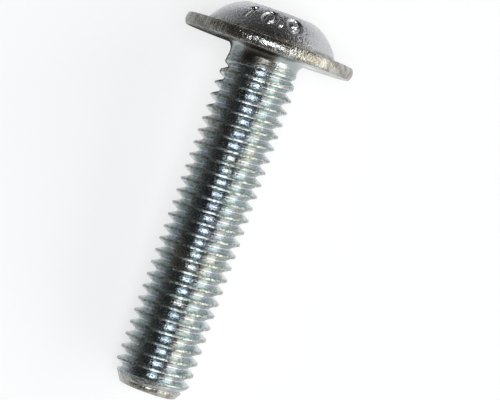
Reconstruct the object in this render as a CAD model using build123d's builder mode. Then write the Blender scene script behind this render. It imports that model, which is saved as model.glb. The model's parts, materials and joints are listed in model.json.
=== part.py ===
from build123d import *

import os
from math import asin, atan, atan2, cos, degrees, hypot, radians, sin, sqrt, tan

# A flanged button head screw, M8 x 1.25, 35 mm long, with a 5 mm hexagon socket.
#
# The real screw is headed cold from one piece of wire and its thread is rolled, so it is one solid:
# dome, flange, socket, neck, thread and tip. It lies as it comes to rest, on the rim of the flange
# and the first full turn of thread, with its head towards +Y.
#
# Heights run along the screw's own axis: 0 is the bearing face under the flange, the head is above
# it and the shank below it, with negative heights.

# head
head_height = 4.08
crown_radius = 3.6
crown_blend = 0.2
dome_radius = 6.65
dome_middle = (5.62, 2.77)
dome_blend = 0.3
flange_thickness = 1.25
rim_radius = 8.69
rim_roundness = 1.03
rim_blend = 0.16

# hexagon socket
socket_size = 5.06
socket_depth = 2.7
socket_point_depth = 3.45
socket_point_size = 0.9
mouth_radius = 3.35
mouth_depth = 0.9
mouth_angle = 45.0

# neck and thread
shank_length = 35.3
neck_radius = 3.5
neck_length = 1.2
neck_fillet = 1.0
thread_pitch = 1.25
major_radius = 3.88
root_radius = 3.13
root_width = 0.17
flank_angle = 30.0
full_thread_height = -3.9
groove_overcut = 0.1
lead_in_turns = 3
full_depth_turns = 25
runout_turns = 0.9
runout_rise = 0.5

# tip
tip_radius = 2.87
tip_angle = 32.0
floor_crest_from_tip = 1.8

# The screw touches the floor at the round rim of the flange and at the lower edge of one crest near
# the tip. Its axis rises towards the head by the angle of the line that is tangent to both.
flank_width = (major_radius - root_radius) * tan(radians(flank_angle))
crest_width = thread_pitch - root_width - 2 * flank_width
floor_crest_height = floor_crest_from_tip - shank_length
rim_height = flange_thickness / 2
rim_centre_radius = rim_radius - rim_roundness
rim_corner_radius = rim_centre_radius + sqrt(rim_roundness**2 - rim_height**2)
contact_span = rim_height - floor_crest_height + crest_width / 2
contact_drop = rim_centre_radius - major_radius
lean = atan2(contact_drop, contact_span) + asin(rim_roundness / hypot(contact_drop, contact_span))
screw_axis = Vector(0, cos(lean), sin(lean))

# The seat is the centre of the bearing face. It is placed so that the floor is at z = 0 and the
# middle of the screw's length at y = 0.
seat_z = rim_centre_radius * cos(lean) - rim_height * sin(lean) + rim_roundness
seat_y = ((shank_length - head_height) * cos(lean) + (tip_radius - crown_radius) * sin(lean)) / 2
seat = Plane(origin=(0, seat_y, seat_z), x_dir=(1, 0, 0), z_dir=screw_axis)
half_section = Plane(origin=seat.origin, x_dir=seat.x_dir, z_dir=seat.x_dir.cross(screw_axis))

with BuildPart() as screw:
    # the whole outline, turned about the axis
    tip_length = (major_radius - tip_radius) / tan(radians(tip_angle))
    with BuildSketch(half_section) as outline:
        with BuildLine():
            shank = Polyline(
                (0, -shank_length),
                (tip_radius, -shank_length),
                (major_radius, tip_length - shank_length),
                (major_radius, full_thread_height),
                (neck_radius, -neck_length),
                (neck_radius, 0),
                (rim_corner_radius, 0),
            )
            rim = ThreePointArc(shank @ 1, (rim_radius, rim_height), (rim_corner_radius, flange_thickness))
            flange_top = Line(rim @ 1, (dome_radius, flange_thickness))
            dome = ThreePointArc(flange_top @ 1, dome_middle, (crown_radius, head_height))
            Polyline(dome @ 1, (0, head_height), (0, -shank_length))
        make_face()
        for corner, blend in (
            ((neck_radius, 0), neck_fillet),
            ((rim_corner_radius, 0), rim_blend),
            ((rim_corner_radius, flange_thickness), rim_blend),
            ((dome_radius, flange_thickness), dome_blend),
            ((crown_radius, head_height), crown_blend),
        ):
            fillet(outline.vertices().sort_by_distance(corner)[0], blend)
    revolve(axis=Axis(seat.origin, screw_axis))

    # the socket: a countersunk mouth, six walls and a six-sided point
    crown = seat.offset(head_height)
    with BuildSketch(crown):
        Circle(mouth_radius)
    extrude(amount=-mouth_depth, taper=mouth_angle, mode=Mode.SUBTRACT)
    with BuildSketch(crown):
        RegularPolygon(socket_size / 2, 6, major_radius=False)
    extrude(amount=-socket_depth, mode=Mode.SUBTRACT)
    with BuildSketch(crown.offset(-socket_depth)):
        RegularPolygon(socket_size / 2, 6, major_radius=False)
    with BuildSketch(crown.offset(-socket_point_depth)):
        RegularPolygon(socket_point_size / 2, 6, major_radius=False)
    loft(mode=Mode.SUBTRACT)

    # The thread is one groove. It enters at the tip, goes up the shank turn by turn at full depth,
    # and climbs out of the metal at the neck in its last turn.
    groove_start = floor_crest_height - lead_in_turns * thread_pitch
    groove_end = floor_crest_height + full_depth_turns * thread_pitch
    runout_angle = atan(runout_rise / (runout_turns * thread_pitch))
    with BuildLine() as groove_path:
        for turn in range(lead_in_turns + full_depth_turns):
            Helix(
                pitch=thread_pitch,
                height=thread_pitch,
                radius=root_radius,
                center=seat.origin + screw_axis * (groove_start + turn * thread_pitch),
                direction=screw_axis,
            )
        Helix(
            pitch=thread_pitch / cos(runout_angle),
            height=runout_turns * thread_pitch,
            radius=root_radius,
            center=seat.origin + screw_axis * groove_end,
            direction=screw_axis,
            cone_angle=degrees(runout_angle),
        )
    groove_foot = groove_path.wires()[0] @ 0
    outward = (groove_foot - seat.origin - screw_axis * groove_start).normalized()
    mouth_reach = major_radius - root_radius + groove_overcut
    mouth_half_width = root_width / 2 + mouth_reach * tan(radians(flank_angle))
    with BuildSketch(Plane(origin=groove_foot, x_dir=outward, z_dir=outward.cross(screw_axis))):
        with BuildLine():
            Polyline(
                (0, -root_width / 2),
                (mouth_reach, -mouth_half_width),
                (mouth_reach, mouth_half_width),
                (0, root_width / 2),
                close=True,
            )
        make_face()
    sweep(is_frenet=True, mode=Mode.SUBTRACT)

screw.part.label = "screw"
os.makedirs("parts", exist_ok=True)
export_step(screw.part, "parts/screw.step")
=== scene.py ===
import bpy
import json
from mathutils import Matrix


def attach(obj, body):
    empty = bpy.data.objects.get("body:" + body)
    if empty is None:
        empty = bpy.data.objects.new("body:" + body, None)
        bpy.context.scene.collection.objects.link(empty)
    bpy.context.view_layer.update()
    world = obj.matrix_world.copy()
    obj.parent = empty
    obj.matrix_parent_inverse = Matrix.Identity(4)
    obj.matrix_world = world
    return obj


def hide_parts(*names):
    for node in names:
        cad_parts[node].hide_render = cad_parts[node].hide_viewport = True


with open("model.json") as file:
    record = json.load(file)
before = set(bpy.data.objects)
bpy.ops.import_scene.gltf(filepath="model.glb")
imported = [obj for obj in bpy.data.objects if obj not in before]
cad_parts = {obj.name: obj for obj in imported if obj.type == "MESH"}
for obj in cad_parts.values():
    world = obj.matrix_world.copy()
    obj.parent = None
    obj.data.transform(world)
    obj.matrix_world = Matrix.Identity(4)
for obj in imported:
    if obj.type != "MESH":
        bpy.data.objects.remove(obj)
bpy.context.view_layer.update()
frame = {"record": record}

import json
from math import asin, atan2, cos, hypot, pi, radians, sin, sqrt, tan

import bmesh
import bpy
from mathutils import Matrix, Vector

# ---------------------------------------------------------------------------------------------
# How the screw lies. It rests on the rim of its flange and on one crest of thread near the tip, so
# its axis rises towards the head. Its own frame has the bearing face at 0 and the head above it:
# z runs up the axis, x to the right and y down to the floor. Sizes are in millimetres.
mm = 0.001
head_height = 4.08
socket_mount = next(mount for mount in frame["record"]["mounts"] if mount["name"] == "hexagon_socket")
screw_axis = Vector(socket_mount["axis"]).normalized()
seat = Vector(socket_mount["pos_m"]) - screw_axis * head_height * mm
turn_to_axis = -atan2(screw_axis.y, screw_axis.z)
lying = Matrix.Translation(seat) @ Matrix.Rotation(turn_to_axis, 4, "X")

# ---------------------------------------------------------------------------------------------
# The finish: bright zinc plating with a clear blue passivation, on steel that was forged and rolled.
# It mirrors its surroundings a little softly, with faint blue, straw and violet tints. The crests
# are worn, the rim and the tip are mottled, the neck carries painted shade on its upper side, and handling
# has left scuffs.
film_cool = "#B8C7C9"
film_violet = "#BDC2C6"
film_straw = "#C7C7BC"
line_dark = "#939E9D"
root_violet = "#C0BEC5"
crest_pale = "#BDC1BF"
crest_worn = "#7A7A76"
dome_violet = "#BDBDC2"
rim_straw = "#B7B6B1"
rim_brown = "#8C8981"
neck_grey = "#A4ABAB"
# Painted shade: a dark brown that stands in for a dark reflection on the neck's upper side.
neck_painted_shade = "#67635C"
flank_dullness = (0.1, 0.2)
crest_dullness = 0.3
rim_dullness = 0.24
painted_shade_dullness = 0.28
scuff_dullness = 0.45

# The thread's pitch and the height where its helix starts, and where each part of the surface ends:
# heights up the axis and reaches from it. Across a fade, one finish gives way to the next.
thread_pitch = 1.25
thread_start = -37.25
root_width = 0.2
crest_below = 0.14
crest_above = 0.22
thread_top = -0.8
thread_fade = 0.3
end_face_reach = 2.85
end_face_fade = 0.15
flange_reach = 5.0
flange_fade = 0.6
dome_foot = 1.45
dome_fade = 0.3
tip_top = -34.1
tip_fade = 0.6
neck_bottom = -2.1
neck_fade = 0.8
neck_top = 0.02
neck_top_fade = 0.07
# The painted shade on the neck: the turn about the axis that it centres on, where it is full, and where it
# ends.
painted_shade_turn = radians(-9.0)
painted_shade_inside = radians(20.0)
painted_shade_outside = radians(34.0)

# How coarse and how deep the patterns are. Real rolling lines, grit and pits are a few hundredths of
# a millimetre wide, too fine to show, so they are drawn several times as coarse.
tint_patch = 2.5
skin_grain = 0.22
skin_depth = 0.03
rolling_line = 0.13
rolling_length = 0.7
rolling_depth = 0.055
streak_width = 0.2
streak_length = 0.9
streak_depth = 0.06
grit_grain = 0.2
grit_depth = 0.05
pit_spacing = 0.4
pit_depth = 0.04
scuff_grain = 0.17
dash_grain = 0.2
blotch_grain = 0.9


def linear(hex_colour):
    """An sRGB colour such as #C8D0D6, as linear red, green, blue and alpha."""
    parts = [int(hex_colour[start : start + 2], 16) / 255 for start in (1, 3, 5)]
    return [part / 12.92 if part <= 0.04045 else ((part + 0.055) / 1.055) ** 2.4 for part in parts] + [1.0]


def add_node(tree, kind, inputs=(), **settings):
    """Adds a node with its settings, and sets or links its inputs, which go by name or in order."""
    node = tree.nodes.new(kind)
    for name, value in settings.items():
        setattr(node, name, value)
    sockets = [socket for socket in node.inputs if socket.enabled]
    if isinstance(inputs, dict):
        sockets = [next(socket for socket in sockets if socket.name == name) for name in inputs]
        inputs = inputs.values()
    for socket, value in zip(sockets, inputs):
        if isinstance(value, bpy.types.Node):
            value = next(output for output in value.outputs if output.enabled)
        if isinstance(value, bpy.types.NodeSocket):
            tree.links.new(value, socket)
        else:
            socket.default_value = value
    return node


arithmetic = "ShaderNodeMath"
vectors = "ShaderNodeVectorMath"
fade = "ShaderNodeMapRange"
noise = "ShaderNodeTexNoise"
metal = bpy.data.materials.new("zinc_plate_blue_passivated")
metal.use_nodes = True
finish = metal.node_tree
shader = finish.nodes["Principled BSDF"]

# Places on the screw, in its own frame and in millimetres.
object_place = add_node(finish, "ShaderNodeTexCoord").outputs["Object"]
place = add_node(
    finish,
    "ShaderNodeMapping",
    {"Vector": object_place, "Location": seat, "Rotation": (turn_to_axis, 0, 0), "Scale": (mm, mm, mm)},
    vector_type="TEXTURE",
)
sideways, down, level = add_node(finish, "ShaderNodeSeparateXYZ", [place]).outputs
from_axis = add_node(finish, vectors, [place, (1, 1, 0)], operation="MULTIPLY")
reach = add_node(finish, vectors, [from_axis], operation="LENGTH")

# Places along the thread: the helix goes up one pitch a turn, with a root at each whole number. The
# crest offset is the height above the nearest crest.
up = add_node(finish, arithmetic, [down, -1.0], operation="MULTIPLY")
turn = add_node(finish, arithmetic, [sideways, up], operation="ARCTAN2")
rise = add_node(finish, arithmetic, [turn, -thread_pitch / (2 * pi), level], operation="MULTIPLY_ADD")
helix = add_node(finish, arithmetic, [rise, thread_start], operation="SUBTRACT")
helix = add_node(finish, arithmetic, [helix, thread_pitch], operation="DIVIDE")
helix_share = add_node(finish, arithmetic, [helix], operation="FRACT")
half_pitch = thread_pitch / 2
crest_offset = add_node(finish, fade, {"Value": helix_share, "To Min": -half_pitch, "To Max": half_pitch})
crest_distance = add_node(finish, arithmetic, [crest_offset], operation="ABSOLUTE")

# Which part of the surface a place is on, from 0 to 1.
to_thread = {"Value": level, "From Min": thread_top, "From Max": thread_top - thread_fade}
off_end = {"Value": reach, "From Min": end_face_reach, "From Max": end_face_reach + end_face_fade}
to_crest = {"Value": crest_offset, "From Min": -crest_below, "From Max": -crest_below / 2}
from_crest = {"Value": crest_offset, "From Min": crest_above, "From Max": crest_below}
to_root = {"Value": crest_distance, "From Min": half_pitch - root_width, "From Max": half_pitch}
to_flange = {"Value": reach, "From Min": flange_reach, "From Max": flange_reach + flange_fade}
to_dome = {"Value": level, "From Min": dome_foot, "From Max": dome_foot + dome_fade}
to_tip = {"Value": level, "From Min": tip_top, "From Max": tip_top - tip_fade}
to_neck = {"Value": level, "From Min": neck_bottom, "From Max": neck_bottom + neck_fade}
off_flange = {"Value": level, "From Min": neck_top, "From Max": neck_top - neck_top_fade}
under_head = add_node(finish, fade, to_thread)
off_end_face = add_node(finish, fade, off_end)
on_shank = add_node(finish, arithmetic, [under_head, off_end_face], operation="MULTIPLY")
low_side = add_node(finish, fade, to_crest)
high_side = add_node(finish, fade, from_crest)
on_crest = add_node(finish, arithmetic, [low_side, high_side], operation="MULTIPLY")
on_crest = add_node(finish, arithmetic, [on_crest, on_shank], operation="MULTIPLY")
near_root = add_node(finish, fade, to_root)
in_root = add_node(finish, arithmetic, [near_root, on_shank], operation="MULTIPLY")
on_flange = add_node(finish, fade, to_flange, interpolation_type="SMOOTHSTEP")
on_dome = add_node(finish, fade, to_dome)
under_dome = add_node(finish, arithmetic, [1.0, on_dome], operation="SUBTRACT")
on_rim = add_node(finish, arithmetic, [on_flange, under_dome], operation="MULTIPLY")
on_tip = add_node(finish, fade, to_tip)
on_rim = add_node(finish, arithmetic, [on_rim, on_tip], operation="MAXIMUM")
above_thread = add_node(finish, fade, to_neck)
under_flange = add_node(finish, fade, off_flange)
on_neck = add_node(finish, arithmetic, [above_thread, under_flange], operation="MULTIPLY")
on_head = add_node(finish, arithmetic, [on_rim, on_dome], operation="MAXIMUM")

# The rolling lines follow the thread: they are noise in four dimensions, of which three change slowly
# along a line and the fourth counts across it, from one crest to the next. The lines meet along the
# crest in the seam that rolling leaves.
line_scale = (1 / rolling_length,) * 3
line_place = add_node(finish, vectors, [place, line_scale], operation="MULTIPLY")
half_share = add_node(finish, arithmetic, [helix, 0.5], operation="ADD")
half_share = add_node(finish, arithmetic, [half_share], operation="FRACT")
lines_a_pitch = thread_pitch / rolling_line
line_number = add_node(finish, arithmetic, [half_share, lines_a_pitch], operation="MULTIPLY")
line_settings = {"Vector": line_place, "W": line_number, "Scale": 1.0, "Detail": 2.0}
rolling_lines = add_node(finish, noise, line_settings, noise_dimensions="4D")
dark_lines = add_node(finish, fade, {"Value": rolling_lines, "From Min": 0.44, "From Max": 0.38})
dark_lines = add_node(finish, arithmetic, [dark_lines, on_shank], operation="MULTIPLY")

# Forging leaves a fine skin all over, streaks on the rim, grit on the head, and pits here and there.
skin = add_node(finish, noise, {"Vector": place, "Scale": 1 / skin_grain, "Detail": 3.0})
streak_scale = (1 / streak_width, 1 / streak_width, 1 / streak_length)
streak_place = add_node(finish, vectors, [place, streak_scale], operation="MULTIPLY")
streaks = add_node(finish, noise, {"Vector": streak_place, "Scale": 1.0, "Detail": 2.0})
grit = add_node(finish, noise, {"Vector": place, "Scale": 1 / grit_grain, "Detail": 1.0})
cells = add_node(finish, "ShaderNodeTexVoronoi", {"Vector": place, "Scale": 1 / pit_spacing})
pit_wall = {"Value": cells.outputs["Distance"], "From Min": 0.25, "From Max": 0.05}
pit_hole = add_node(finish, fade, pit_wall, interpolation_type="SMOOTHSTEP")
pit_size = add_node(finish, fade, {"Value": cells.outputs["Color"], "From Min": 0.45})
pits = add_node(finish, arithmetic, [pit_hole, pit_size], operation="MULTIPLY")

# Tint and wear: the film's patches, the scuffs, the dashes worn along the crests and the blotches of
# the rim. On the neck, on its upper side only, a dark patch of painted shade dims the highlight there.
# Noise is mostly from 0.3 to 0.7, so the two values that a pattern fades between set how much of the
# surface it covers.
patches = add_node(finish, noise, {"Vector": place, "Scale": 1 / tint_patch, "Detail": 4.0})
scuff_noise = add_node(finish, noise, {"Vector": place, "Scale": 1 / scuff_grain, "Detail": 1.0})
scuffs = add_node(finish, fade, {"Value": scuff_noise, "From Min": 0.62, "From Max": 0.72})
dashes = add_node(finish, noise, {"Vector": place, "Scale": 1 / dash_grain, "Detail": 2.0})
worn = add_node(finish, fade, {"Value": dashes, "From Min": 0.42, "From Max": 0.58})
blotch_noise = add_node(finish, noise, {"Vector": place, "Scale": 1 / blotch_grain, "Detail": 4.0})
blotches = add_node(finish, fade, {"Value": blotch_noise, "From Min": 0.42, "From Max": 0.6})
# Painted shade: a dark patch on the neck, strongest round one turn about the axis on its upper side, that
# dims the highlight there.
from_painted_shade = add_node(finish, arithmetic, [turn, painted_shade_turn], operation="SUBTRACT")
from_painted_shade = add_node(finish, arithmetic, [from_painted_shade], operation="ABSOLUTE")
to_painted_shade = {"Value": from_painted_shade, "From Min": painted_shade_outside, "From Max": painted_shade_inside}
painted_shade = add_node(finish, fade, to_painted_shade, interpolation_type="SMOOTHSTEP")
painted_shade_on_neck = add_node(finish, arithmetic, [on_neck, painted_shade], operation="MULTIPLY")

# Colour: the film's tint drifts from patch to patch. It is darker along the rolling lines, violet in
# the roots and on the dome, greyer or browner where the metal is worn or mottled, and dark where shade is
# painted on the neck.
film = add_node(finish, "ShaderNodeValToRGB", [patches])
film.color_ramp.elements[0].position = 0.35
film.color_ramp.elements[0].color = linear(film_violet)
film.color_ramp.elements[1].position = 0.65
film.color_ramp.elements[1].color = linear(film_straw)
film.color_ramp.elements.new(0.5).color = linear(film_cool)
crest_colours = [worn, linear(crest_pale), linear(crest_worn)]
rim_colours = [blotches, linear(rim_straw), linear(rim_brown)]
# The neck: its own grey, with painted shade on its upper side.
neck_colours = [painted_shade, linear(neck_grey), linear(neck_painted_shade)]
crest = add_node(finish, "ShaderNodeMix", crest_colours, data_type="RGBA")
rim = add_node(finish, "ShaderNodeMix", rim_colours, data_type="RGBA")
neck = add_node(finish, "ShaderNodeMix", neck_colours, data_type="RGBA")
tint = film
for share, colour in (
    (dark_lines, linear(line_dark)),
    (in_root, linear(root_violet)),
    (on_crest, crest),
    (on_dome, linear(dome_violet)),
    (on_rim, rim),
    (on_neck, neck),
):
    tint = add_node(finish, "ShaderNodeMix", [share, tint, colour], data_type="RGBA")
finish.links.new(tint.outputs["Result"], shader.inputs["Base Color"])

# Gloss: the worn crests, the rim, the tip, the painted shade on the neck and the scuffs are duller than
# the flanks.
flank_gloss = {"Value": skin, "To Min": flank_dullness[0], "To Max": flank_dullness[1]}
dullness = add_node(finish, fade, flank_gloss)
for share, roughness in (
    (on_crest, crest_dullness),
    (on_rim, rim_dullness),
    (painted_shade_on_neck, painted_shade_dullness),
    (scuffs, scuff_dullness),
):
    dullness = add_node(finish, "ShaderNodeMix", [share, dullness, roughness], data_type="FLOAT")

# Relief, in millimetres.
relief = add_node(finish, arithmetic, [skin, skin_depth], operation="MULTIPLY")
for pattern, depth, share in (
    (rolling_lines, rolling_depth, on_shank),
    (streaks, streak_depth, on_rim),
    (grit, grit_depth, on_head),
    (pits, -pit_depth, 1.0),
):
    carved = add_node(finish, arithmetic, [pattern, depth], operation="MULTIPLY")
    relief = add_node(finish, arithmetic, [carved, share, relief], operation="MULTIPLY_ADD")
bump = add_node(finish, "ShaderNodeBump", {"Height": relief, "Distance": mm})
shader.inputs["Metallic"].default_value = 1.0
finish.links.new(dullness.outputs["Result"], shader.inputs["Roughness"])
finish.links.new(bump.outputs["Normal"], shader.inputs["Normal"])

# ---------------------------------------------------------------------------------------------
# The shank: steel wire with the thread rolled into it between flat dies, from the tip up to the
# neck. The groove follows one helix and climbs out of the metal at the neck.
columns = 144
rows_per_turn = 16
row_crowding = 0.65
weld_distance = 0.0005
turns_in_all = 30
shank_length = 35.3
neck_length = 1.2
neck_radius = 3.5
flank_angle = radians(30.0)
runout_rise = 0.5
runout_turns = 0.9
tip_radius = 2.87
tip_angle = radians(32.0)
tip_blend = 0.12
tip_reach = tip_blend * tan((pi / 2 - tip_angle) / 2)
sizes = {
    "Pitch": thread_pitch,
    "Start": thread_start,
    "Crest radius": 3.88,
    "Root radius": 3.13,
    "Half root": 0.085,
    "Flank slope": tan(flank_angle),
    "Crest round": 0.08,
    "Root round": 0.26,
    "Full turns": 28.0,
    "Rise per turn": runout_rise / runout_turns,
    "Tip height": -shank_length + tip_reach * cos(tip_angle),
    "Tip radius": tip_radius + tip_reach * sin(tip_angle),
    "Tip slope": tan(tip_angle),
    "Neck height": -neck_length,
    "Neck radius": neck_radius,
    "Full thread height": -3.9,
}
counts = {"Columns": columns, "Rows": turns_in_all * rows_per_turn + 1, "Rows per turn": rows_per_turn}
thread = bpy.data.node_groups.new("rolled_thread", "GeometryNodeTree")
sockets = thread.interface
sockets.new_socket("Geometry", in_out="INPUT", socket_type="NodeSocketGeometry")
sockets.new_socket("Geometry", in_out="OUTPUT", socket_type="NodeSocketGeometry")
setting_of = {}
for name, value in {**counts, **sizes, "Metal": metal}.items():
    kind = {int: "NodeSocketInt", float: "NodeSocketFloat"}.get(type(value), "NodeSocketMaterial")
    setting_of[name] = sockets.new_socket(name, in_out="INPUT", socket_type=kind).identifier
given = add_node(thread, "NodeGroupInput").outputs

# Every point of the grid has a column round the axis and a row along it. Rows are counted from the
# middle of the nearest groove, and lie closer together at its root and at the crests.
index = add_node(thread, "GeometryNodeInputIndex")
column = add_node(thread, arithmetic, [index, given["Rows"]], operation="DIVIDE")
column = add_node(thread, arithmetic, [column], operation="FLOOR")
before = add_node(thread, arithmetic, [column, given["Rows"]], operation="MULTIPLY")
row = add_node(thread, arithmetic, [index, before], operation="SUBTRACT")
around = add_node(thread, arithmetic, [column, given["Columns"]], operation="DIVIDE")
along = add_node(thread, arithmetic, [row, given["Rows per turn"]], operation="DIVIDE")
groove = add_node(thread, arithmetic, [along], operation="ROUND")
even_offset = add_node(thread, arithmetic, [along, groove], operation="SUBTRACT")
wave = add_node(thread, arithmetic, [even_offset, 4 * pi], operation="MULTIPLY")
wave = add_node(thread, arithmetic, [wave], operation="SINE")
pull = -row_crowding / (4 * pi)
offset = add_node(thread, arithmetic, [wave, pull, even_offset], operation="MULTIPLY_ADD")
helix_turn = add_node(thread, arithmetic, [groove, around], operation="ADD")
height = add_node(thread, arithmetic, [helix_turn, offset], operation="ADD")
height = add_node(thread, arithmetic, [height, given["Pitch"], given["Start"]], operation="MULTIPLY_ADD")

# The groove: a flat root that rises at the neck, and flanks at 30 degrees from it.
late_turn = add_node(thread, arithmetic, [helix_turn, given["Full turns"]], operation="SUBTRACT")
late_turn = add_node(thread, arithmetic, [late_turn, 0.0], operation="MAXIMUM")
root_line = [late_turn, given["Rise per turn"], given["Root radius"]]
root = add_node(thread, arithmetic, root_line, operation="MULTIPLY_ADD")
aside = add_node(thread, arithmetic, [offset], operation="ABSOLUTE")
aside = add_node(thread, arithmetic, [aside, given["Pitch"]], operation="MULTIPLY")
aside = add_node(thread, arithmetic, [aside, given["Half root"]], operation="SUBTRACT")
flank = add_node(thread, arithmetic, [aside, given["Flank slope"]], operation="DIVIDE")
flank = add_node(thread, arithmetic, [flank, root], operation="ADD")
groove_radius = add_node(thread, arithmetic, [flank, root, given["Root round"]], operation="SMOOTH_MAX")

# The wire: a cone at the tip, the crests' cylinder, and a cone down to the neck.
above_tip = add_node(thread, arithmetic, [height, given["Tip height"]], operation="SUBTRACT")
above_tip = add_node(thread, arithmetic, [above_tip, 0.0], operation="MAXIMUM")
tip_line = [above_tip, given["Tip slope"], given["Tip radius"]]
tip_cone = add_node(thread, arithmetic, tip_line, operation="MULTIPLY_ADD")
neck_line = {
    "Value": height,
    "From Min": given["Full thread height"],
    "From Max": given["Neck height"],
    "To Min": given["Crest radius"],
    "To Max": given["Neck radius"],
}
neck_cone = add_node(thread, fade, neck_line)
wire = add_node(thread, arithmetic, [tip_cone, neck_cone], operation="MINIMUM")
radius = add_node(thread, arithmetic, [groove_radius, wire, given["Crest round"]], operation="SMOOTH_MIN")

# The points are put in place, and the grid's two long edges are welded along the helix.
angle = add_node(thread, arithmetic, [around, 2 * pi], operation="MULTIPLY")
sine = add_node(thread, arithmetic, [angle], operation="SINE")
cosine = add_node(thread, arithmetic, [angle], operation="COSINE")
below = add_node(thread, arithmetic, [radius, -1.0], operation="MULTIPLY")
height = add_node(thread, arithmetic, [height, given["Tip height"]], operation="MAXIMUM")
height = add_node(thread, arithmetic, [height, given["Neck height"]], operation="MINIMUM")
x = add_node(thread, arithmetic, [radius, sine], operation="MULTIPLY")
y = add_node(thread, arithmetic, [below, cosine], operation="MULTIPLY")
point = add_node(thread, "ShaderNodeCombineXYZ", [x, y, height])
seam_column = add_node(thread, arithmetic, [given["Columns"], 1.0], operation="ADD")
grid = add_node(thread, "GeometryNodeMeshGrid", {"Vertices X": seam_column, "Vertices Y": given["Rows"]})
shaped = add_node(thread, "GeometryNodeSetPosition", {"Geometry": grid, "Position": point})
welding = {"Geometry": shaped, "Distance": weld_distance}
welded = add_node(thread, "GeometryNodeMergeByDistance", welding)
realized = add_node(thread, "GeometryNodeRealizeInstances", [welded])
plated = add_node(thread, "GeometryNodeSetMaterial", {"Geometry": realized, "Material": given["Metal"]})
add_node(thread, "NodeGroupOutput", [plated])

blank = bpy.data.objects.new("shank_blank", bpy.data.meshes.new("shank_blank"))
bpy.context.scene.collection.objects.link(blank)
rolling = blank.modifiers.new("rolled_thread", "NODES")
rolling.node_group = thread
for name, value in {**counts, **sizes, "Metal": metal}.items():
    rolling[setting_of[name]] = value
shank = bpy.data.meshes.new_from_object(blank.evaluated_get(bpy.context.evaluated_depsgraph_get()))
bpy.data.objects.remove(blank)

# ---------------------------------------------------------------------------------------------
# The head: cold-forged with its flange in one blow, and the socket punched in by the next.
# Its outline is turned about the axis, from the neck outwards and over the dome to the mouth.
flange_thickness = 1.25
rim_radius = 8.69
rim_roundness = 1.03
rim_blend = 0.16
neck_fillet = 1.0
bearing_face_rings = (5.3, 6.2, 7.2)
flange_top_rings = (7.7, 7.2)
dome_points = ((6.65, flange_thickness), (5.62, 2.77), (3.6, head_height))
dome_blend = 0.3
crown_blend = 0.2
mouth_radius = 3.35
lip_blend = 0.2


def arc(centre, radius, start, end, steps):
    """Points of an arc, with its angles in radians."""
    turns = [start + (end - start) * step / steps for step in range(steps + 1)]
    return [(centre[0] + radius * cos(turn), centre[1] + radius * sin(turn)) for turn in turns]


def circle_through(a, b, c):
    """Centre and radius of the circle through three points."""
    ax, ay, bx, by = a[0] - c[0], a[1] - c[1], b[0] - c[0], b[1] - c[1]
    twice_area = 2 * (ax * by - ay * bx)
    x = (by * (ax**2 + ay**2) - ay * (bx**2 + by**2)) / twice_area
    y = (ax * (bx**2 + by**2) - bx * (ax**2 + ay**2)) / twice_area
    return (c[0] + x, c[1] + y), hypot(x, y)


def blend_centre(circle, reach, level):
    """Centre of a blend that lies at a level and at a reach from a circle's centre."""
    return circle[0] + sqrt(reach**2 - (level - circle[1]) ** 2), level


def heading(origin, target):
    """Angle of the way from one point to another."""
    return atan2(target[1] - origin[1], target[0] - origin[0])


rim_centre = (rim_radius - rim_roundness, flange_thickness / 2)
low_blend = blend_centre(rim_centre, rim_roundness - rim_blend, rim_blend)
high_blend = blend_centre(rim_centre, rim_roundness - rim_blend, flange_thickness - rim_blend)
rim_turn = heading(rim_centre, high_blend)
dome_centre, dome_roundness = circle_through(*dome_points)
foot_blend = blend_centre(dome_centre, dome_roundness + dome_blend, flange_thickness + dome_blend)
top_blend = blend_centre(dome_centre, dome_roundness - crown_blend, head_height - crown_blend)
foot_turn = heading(dome_centre, foot_blend)
top_turn = heading(dome_centre, top_blend)
lip_reach = lip_blend * tan(pi / 8)
lip_centre = (mouth_radius + lip_reach, head_height - lip_blend)
outline = [(neck_radius, -neck_length)]
outline += arc((neck_radius + neck_fillet, -neck_fillet), neck_fillet, pi, pi / 2, steps=14)
outline += [(ring_reach, 0.0) for ring_reach in bearing_face_rings]
outline += arc(low_blend, rim_blend, -pi / 2, -rim_turn, steps=4)
outline += arc(rim_centre, rim_roundness, -rim_turn, rim_turn, steps=8)[1:-1]
outline += arc(high_blend, rim_blend, rim_turn, pi / 2, steps=4)
outline += [(ring_reach, flange_thickness) for ring_reach in flange_top_rings]
outline += arc(foot_blend, dome_blend, -pi / 2, foot_turn - pi, steps=5)
outline += arc(dome_centre, dome_roundness, foot_turn, top_turn, steps=22)[1:-1]
outline += arc(top_blend, crown_blend, top_turn, pi / 2, steps=5)
outline += arc(lip_centre, lip_blend, pi / 2, pi * 3 / 4, steps=4)


def ring(mesh, place_at):
    """A closed row of points, one in each column, at the radius and height that place_at gives."""
    points = []
    for number in range(columns):
        turn = 2 * pi * number / columns
        reach, level = place_at(turn)
        points.append(mesh.verts.new((reach * sin(turn), -reach * cos(turn), level)))
    return points


def skin_over(mesh, rows):
    """Faces between neighbouring rows of points."""
    for low, high in zip(rows, rows[1:]):
        for number in range(columns):
            after = (number + 1) % columns
            mesh.faces.new((low[number], low[after], high[after], high[number]))


screw = bmesh.new()
screw.from_mesh(shank)
rows = [ring(screw, lambda turn, point=point: point) for point in outline]

# The socket: a countersunk mouth, six walls, and the six-sided point that the punch leaves.
socket_size = 5.06
socket_depth = 2.7
point_depth = 3.45
point_size = 0.9
lip_end = outline[-1]


def wall_radius(turn):
    """Distance from the axis to the hexagon's wall, whose corners are at 30 degrees and every 60 on."""
    return socket_size / 2 / cos((turn + pi / 6) % (pi / 3) - pi / 6)


def mouth_foot(turn):
    """Where the countersink of 45 degrees meets the wall."""
    return wall_radius(turn), head_height - (mouth_radius - wall_radius(turn))


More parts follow.
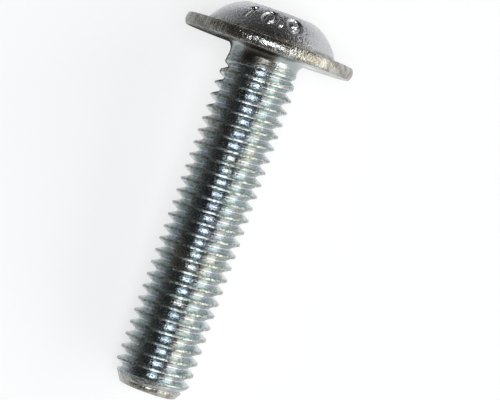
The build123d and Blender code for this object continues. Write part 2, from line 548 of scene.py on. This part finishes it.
def on_cone(turn, share):
    """A place on the countersink, from the lip down to the wall."""
    foot = mouth_foot(turn)
    return lip_end[0] + (foot[0] - lip_end[0]) * share, lip_end[1] + (foot[1] - lip_end[1]) * share


def on_wall(turn, share):
    """A place on the wall, from the countersink down to the wall's foot."""
    foot = mouth_foot(turn)
    return foot[0], foot[1] + (head_height - socket_depth - foot[1]) * share


def on_point(turn, share):
    """A place on the punched point, from the wall's foot down to the small flat at the bottom."""
    shrink = 1 + (point_size / socket_size - 1) * share
    return wall_radius(turn) * shrink, head_height - socket_depth - (point_depth - socket_depth) * share


for place_on, shares in (
    (on_cone, (0.35, 0.7, 1.0)),
    (on_wall, (0.25, 0.5, 0.75, 1.0)),
    (on_point, (0.25, 0.5, 0.75, 1.0)),
):
    for share in shares:
        rows.append(ring(screw, lambda turn: place_on(turn, share)))
skin_over(screw, rows)
screw.faces.new(rows[-1])

# The tip: the cut end of the wire, with its edge rounded a little. The shank, the head and the tip
# are joined, and only the edges that are sharper than the limit stay crisp.
end_face_rings = (2.4, 1.6, 0.8)
joint_distance = 0.002
crisp_angle = radians(32.0)
end_centre = (tip_radius - tip_reach, tip_blend - shank_length)
end_points = arc(end_centre, tip_blend, -tip_angle, -pi / 2, steps=4)
end_points += [(ring_reach, -shank_length) for ring_reach in end_face_rings]
end_rows = [ring(screw, lambda turn, point=point: point) for point in end_points]
skin_over(screw, end_rows)
screw.faces.new(end_rows[-1])
bmesh.ops.remove_doubles(screw, verts=screw.verts, dist=joint_distance)
bmesh.ops.recalc_face_normals(screw, faces=screw.faces)
for edge in screw.edges:
    edge.smooth = edge.calc_face_angle() < crisp_angle

# The strength class, 10.9, is struck into the dome: the mesh is made finer there and pushed in along
# the strokes of the figures. A stroke's wall ends at its edge, which is given in half widths.
figure_height = 1.7
figure_width = 1.25
stroke_width = 0.48
stroke_depth = 0.25
stroke_edge = 1.25
mark_level = 3.15
figure_turns = {"1": radians(-31.0), "0": radians(-8.0), ".": radians(6.0), "9": radians(20.0)}
patch_margin = 0.2
dome_margin = 0.05
fine_cuts = 4
half_height = figure_height / 2
half_width = figure_width / 2
stem_place = 0.05
flag_place = -0.32
flag_drop = 0.35
dot_height = 0.05
bowl_level = half_height - half_width
tail_reach = 1.4
tail_turn = -1.05
figures = {
    "1": [[(flag_place, half_height - flag_drop), (stem_place, half_height), (stem_place, -half_height)]],
    "0": [[(half_width * x, half_height * y) for x, y in arc((0, 0), 1.0, 0, 2 * pi, steps=20)]],
    ".": [[(0.0, -half_height), (0.0, -half_height + dot_height)]],
    "9": [
        arc((0.0, bowl_level), half_width, 0, 2 * pi, steps=16),
        arc((half_width - tail_reach, bowl_level), tail_reach, 0, tail_turn, steps=6),
    ],
}
mark_turn = asin((mark_level - dome_centre[1]) / dome_roundness)
mark_reach = dome_centre[0] + dome_roundness * cos(mark_turn)


def on_dome_at(point):
    """The turn about the axis, the turn up the dome, and the distance above the dome, of a point."""
    foot = (hypot(point.x, point.y), point.z)
    above = hypot(foot[0] - dome_centre[0], foot[1] - dome_centre[1]) - dome_roundness
    return atan2(point.x, -point.y), heading(dome_centre, foot), above


def in_patch(point):
    """Whether a point lies on the dome within the part that the figures take up."""
    turn, climb, above = on_dome_at(point)
    high = half_height + patch_margin
    wide = (half_width + patch_margin) / mark_reach
    in_width = min(figure_turns.values()) - wide < turn < max(figure_turns.values()) + wide
    return abs(above) < dome_margin and in_width and abs(climb - mark_turn) * dome_roundness < high


def distance_to(stroke, spot):
    """Shortest distance from a spot to a line through points."""
    nearest = figure_height
    for start, end in zip(stroke, stroke[1:]):
        start, run = Vector(start), Vector(end) - Vector(start)
        share = min(max((spot - start).dot(run) / run.length_squared, 0.0), 1.0)
        nearest = min(nearest, (start + run * share - spot).length)
    return nearest


def struck_depth(turn, climb):
    """How deep the punch goes at a place on the dome."""
    depth = 0.0
    for figure, middle in figure_turns.items():
        spot = Vector(((turn - middle) * mark_reach, (climb - mark_turn) * dome_roundness))
        if abs(spot.x) < half_width + stroke_width:
            distance = min(distance_to(stroke, spot) for stroke in figures[figure])
            share = min(max(stroke_edge - distance / (stroke_width / 2), 0.0), 1.0)
            depth = max(depth, stroke_depth * share * share * (3 - 2 * share))
    return depth


patch = [face for face in screw.faces if in_patch(face.calc_center_median())]
patch_edges = list({edge for face in patch for edge in face.edges})
bmesh.ops.subdivide_edges(screw, edges=patch_edges, cuts=fine_cuts, use_grid_fill=True)
for vertex in screw.verts:
    if in_patch(vertex.co):
        turn, climb, above = on_dome_at(vertex.co)
        from_centre = dome_roundness - struck_depth(turn, climb)
        reach = dome_centre[0] + from_centre * cos(climb)
        level = dome_centre[1] + from_centre * sin(climb)
        vertex.co = (reach * sin(turn), -reach * cos(turn), level)
for face in screw.faces:
    face.smooth = True

screw.transform(lying @ Matrix.Scale(mm, 4))
screw_mesh = bpy.data.meshes.new("button_head_screw")
screw.to_mesh(screw_mesh)
screw.free()
screw_mesh.materials.append(metal)
piece = bpy.data.objects.new("button_head_screw", screw_mesh)
bpy.context.scene.collection.objects.link(piece)
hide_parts("screw")
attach(piece, "root")

# ---------------------------------------------------------------------------------------------
# The floor: a sheet of matt white paper. Its own glow, for what is seen directly or mirrored, lifts
# the paper to white and leaves the screw's shadow on it. The set's sizes are in metres.
paper_colour = "#AAAAAA"
paper_glow = 0.65
matt_dullness = 0.9
sheet_reach = 1.5
corners = [(-sheet_reach, -sheet_reach, 0), (sheet_reach, -sheet_reach, 0)]
corners += [(sheet_reach, sheet_reach, 0), (-sheet_reach, sheet_reach, 0)]
sheet_mesh = bpy.data.meshes.new("paper_sheet")
sheet_mesh.from_pydata(corners, [], [(0, 1, 2, 3)])
sheet = bpy.data.objects.new("paper_sheet", sheet_mesh)
bpy.context.scene.collection.objects.link(sheet)
paper = bpy.data.materials.new("matt_white_paper")
paper.use_nodes = True
paper_tree = paper.node_tree
ray = add_node(paper_tree, "ShaderNodeLightPath").outputs
seen = add_node(paper_tree, arithmetic, [ray["Is Camera Ray"], ray["Is Glossy Ray"]], operation="MAXIMUM")
seen = add_node(paper_tree, arithmetic, [seen, ray["Is Transmission Ray"]], operation="MAXIMUM")
glow = add_node(paper_tree, arithmetic, [seen, paper_glow], operation="MULTIPLY")
paper_shader = paper_tree.nodes["Principled BSDF"]
paper_shader.inputs["Base Color"].default_value = linear(paper_colour)
paper_shader.inputs["Roughness"].default_value = matt_dullness
paper_shader.inputs["Emission Color"].default_value = (1, 1, 1, 1)
paper_tree.links.new(glow.outputs[0], paper_shader.inputs["Emission Strength"])
sheet_mesh.materials.append(paper)

# Three cards of matt board lie on the sheet, seen only in the metal's reflections: painted dark
# reflections. A black one past the head stands in for dark surroundings, a pale one along the left for
# the shade beside the screw, and a small dark one under the flange for the shade there. They are
# hidden from the camera and cast no shadow. Each has its four edges and its level above the floor.
for name, colour, near, far, left, right, card_level in (
    ("painted_dark_reflection_beyond_head", "#161616", 0.044, 0.6, -0.05, 0.022, 0.001),
    ("painted_shade_reflection_left", "#DCDCDC", -0.4, 0.6, -0.4, -0.013, 0.0005),
    ("painted_shade_reflection_under_flange", "#454545", 0.0115, 0.019, -0.0095, -0.0033, 0.0003),
):
    corners = [(left, near, card_level), (right, near, card_level)]
    corners += [(right, far, card_level), (left, far, card_level)]
    card_mesh = bpy.data.meshes.new(name)
    card_mesh.from_pydata(corners, [], [(0, 1, 2, 3)])
    card = bpy.data.objects.new(name, card_mesh)
    bpy.context.scene.collection.objects.link(card)
    board = bpy.data.materials.new("matt_" + name)
    board.use_nodes = True
    board_shader = board.node_tree.nodes["Principled BSDF"]
    board_shader.inputs["Base Color"].default_value = linear(colour)
    board_shader.inputs["Roughness"].default_value = matt_dullness
    card_mesh.materials.append(board)
    card.visible_camera = False
    card.visible_diffuse = False
    card.visible_shadow = False

# ---------------------------------------------------------------------------------------------
# The light: a dim room whose walls are pale low down, more so on the right, but for a dark doorway
# beyond the head. Three soft boxes light the screw: from overhead, the right and near the tip. The
# places of the walls and the doorway are parts of a sight line's length, from 0 to 1.
room_white = "#FFFAF5"
room_dark = 0.034
wall_left = 0.14
wall_right = 0.7
wall_spread = 0.6
wall_foot = 0.1
wall_top = 0.65
doorway_outside = 0.7
doorway_inside = 0.88
doorway_share = 0.25
world = bpy.data.worlds.new("studio")
world.use_nodes = True
room = world.node_tree
direction = add_node(room, "ShaderNodeTexCoord").outputs["Generated"]
rightwards, beyond, upwards = add_node(room, "ShaderNodeSeparateXYZ", [direction]).outputs
from_left = {
    "Value": rightwards,
    "From Min": -wall_spread,
    "From Max": wall_spread,
    "To Min": wall_left,
    "To Max": wall_right,
}
into_doorway = {
    "Value": beyond,
    "From Min": doorway_outside,
    "From Max": doorway_inside,
    "To Min": 1.0,
    "To Max": doorway_share,
}
from_foot = {"Value": upwards, "From Min": wall_foot, "From Max": wall_top, "To Min": 1.0, "To Max": 0.0}
wall = add_node(room, fade, from_left)
doorway = add_node(room, fade, into_doorway, interpolation_type="SMOOTHSTEP")
low_down = add_node(room, fade, from_foot, interpolation_type="SMOOTHSTEP")
pale = add_node(room, arithmetic, [wall, doorway], operation="MULTIPLY")
brightness = add_node(room, arithmetic, [pale, low_down, room_dark], operation="MULTIPLY_ADD")
room.links.new(brightness.outputs[0], room.nodes["Background"].inputs["Strength"])
room.nodes["Background"].inputs["Color"].default_value = linear(room_white)
bpy.context.scene.world = world


def soft_box(name, to_right, to_tip, distance, width, length, radiance, colour):
    """A rectangular lamp that faces the screw, turned from overhead to the right and to the tip."""
    lamp = bpy.data.lights.new(name, "AREA")
    lamp.shape = "RECTANGLE"
    lamp.size = width
    lamp.size_y = length
    lamp.energy = radiance * pi * width * length
    lamp.color = linear(colour)[:3]
    box = bpy.data.objects.new(name, lamp)
    bpy.context.scene.collection.objects.link(box)
    turned = Matrix.Rotation(to_tip, 4, "X") @ Matrix.Rotation(to_right, 4, "Y")
    box.matrix_world = turned @ Matrix.Translation((0, 0, distance))


soft_box(
    "overhead_box",
    to_right=radians(4.0),
    to_tip=radians(9.0),
    distance=0.7,
    width=0.31,
    length=0.28,
    radiance=9.5,
    colour="#F0F8FF",
)
soft_box(
    "right_box",
    to_right=radians(64.0),
    to_tip=0.0,
    distance=0.9,
    width=0.62,
    length=1.4,
    radiance=2.2,
    colour="#FFFDF1",
)
soft_box(
    "tip_box",
    to_right=radians(50.0),
    to_tip=radians(50.0),
    distance=0.9,
    width=0.8,
    length=0.8,
    radiance=0.8,
    colour="#F8FAFF",
)

# ---------------------------------------------------------------------------------------------
# The camera looks down on the screw as it lies, with the head at the top right of the picture. The
# aim level is the place on the axis that the aim pixel shows.
picture_width = 500
picture_height = 400
focal_pixels = 2415.0
camera_distance = 238.0 * mm
axis_turn = radians(19.62)
sight_tilt = radians(1.5)
aim_level = -16.1
aim_pixel = (212.1, 206.5)
upper_side = Vector((0, -screw_axis.z, screw_axis.y))
to_camera = upper_side * cos(sight_tilt) + screw_axis * sin(sight_tilt)
axis_in_view = screw_axis * cos(sight_tilt) - upper_side * sin(sight_tilt)
across = Vector((1, 0, 0))
view_up = axis_in_view * cos(axis_turn) - across * sin(axis_turn)
view_right = axis_in_view * sin(axis_turn) + across * cos(axis_turn)
right_of_centre = (aim_pixel[0] - picture_width / 2) / focal_pixels * camera_distance
above_centre = (picture_height / 2 - aim_pixel[1]) / focal_pixels * camera_distance
aim = seat + screw_axis * aim_level * mm
spot = aim + to_camera * camera_distance - view_right * right_of_centre - view_up * above_centre
camera = bpy.data.objects.new("camera", bpy.data.cameras.new("camera"))
camera.data.sensor_width = 36.0
camera.data.lens = focal_pixels / picture_width * camera.data.sensor_width
camera.data.clip_start = 0.01
camera.data.clip_end = 10.0
bpy.context.scene.collection.objects.link(camera)
facing = Matrix((view_right, view_up, to_camera)).transposed()
camera.matrix_world = Matrix.Translation(spot) @ facing.to_4x4()
bpy.context.scene.camera = camera

bpy.context.scene.view_settings.view_transform = "Standard"
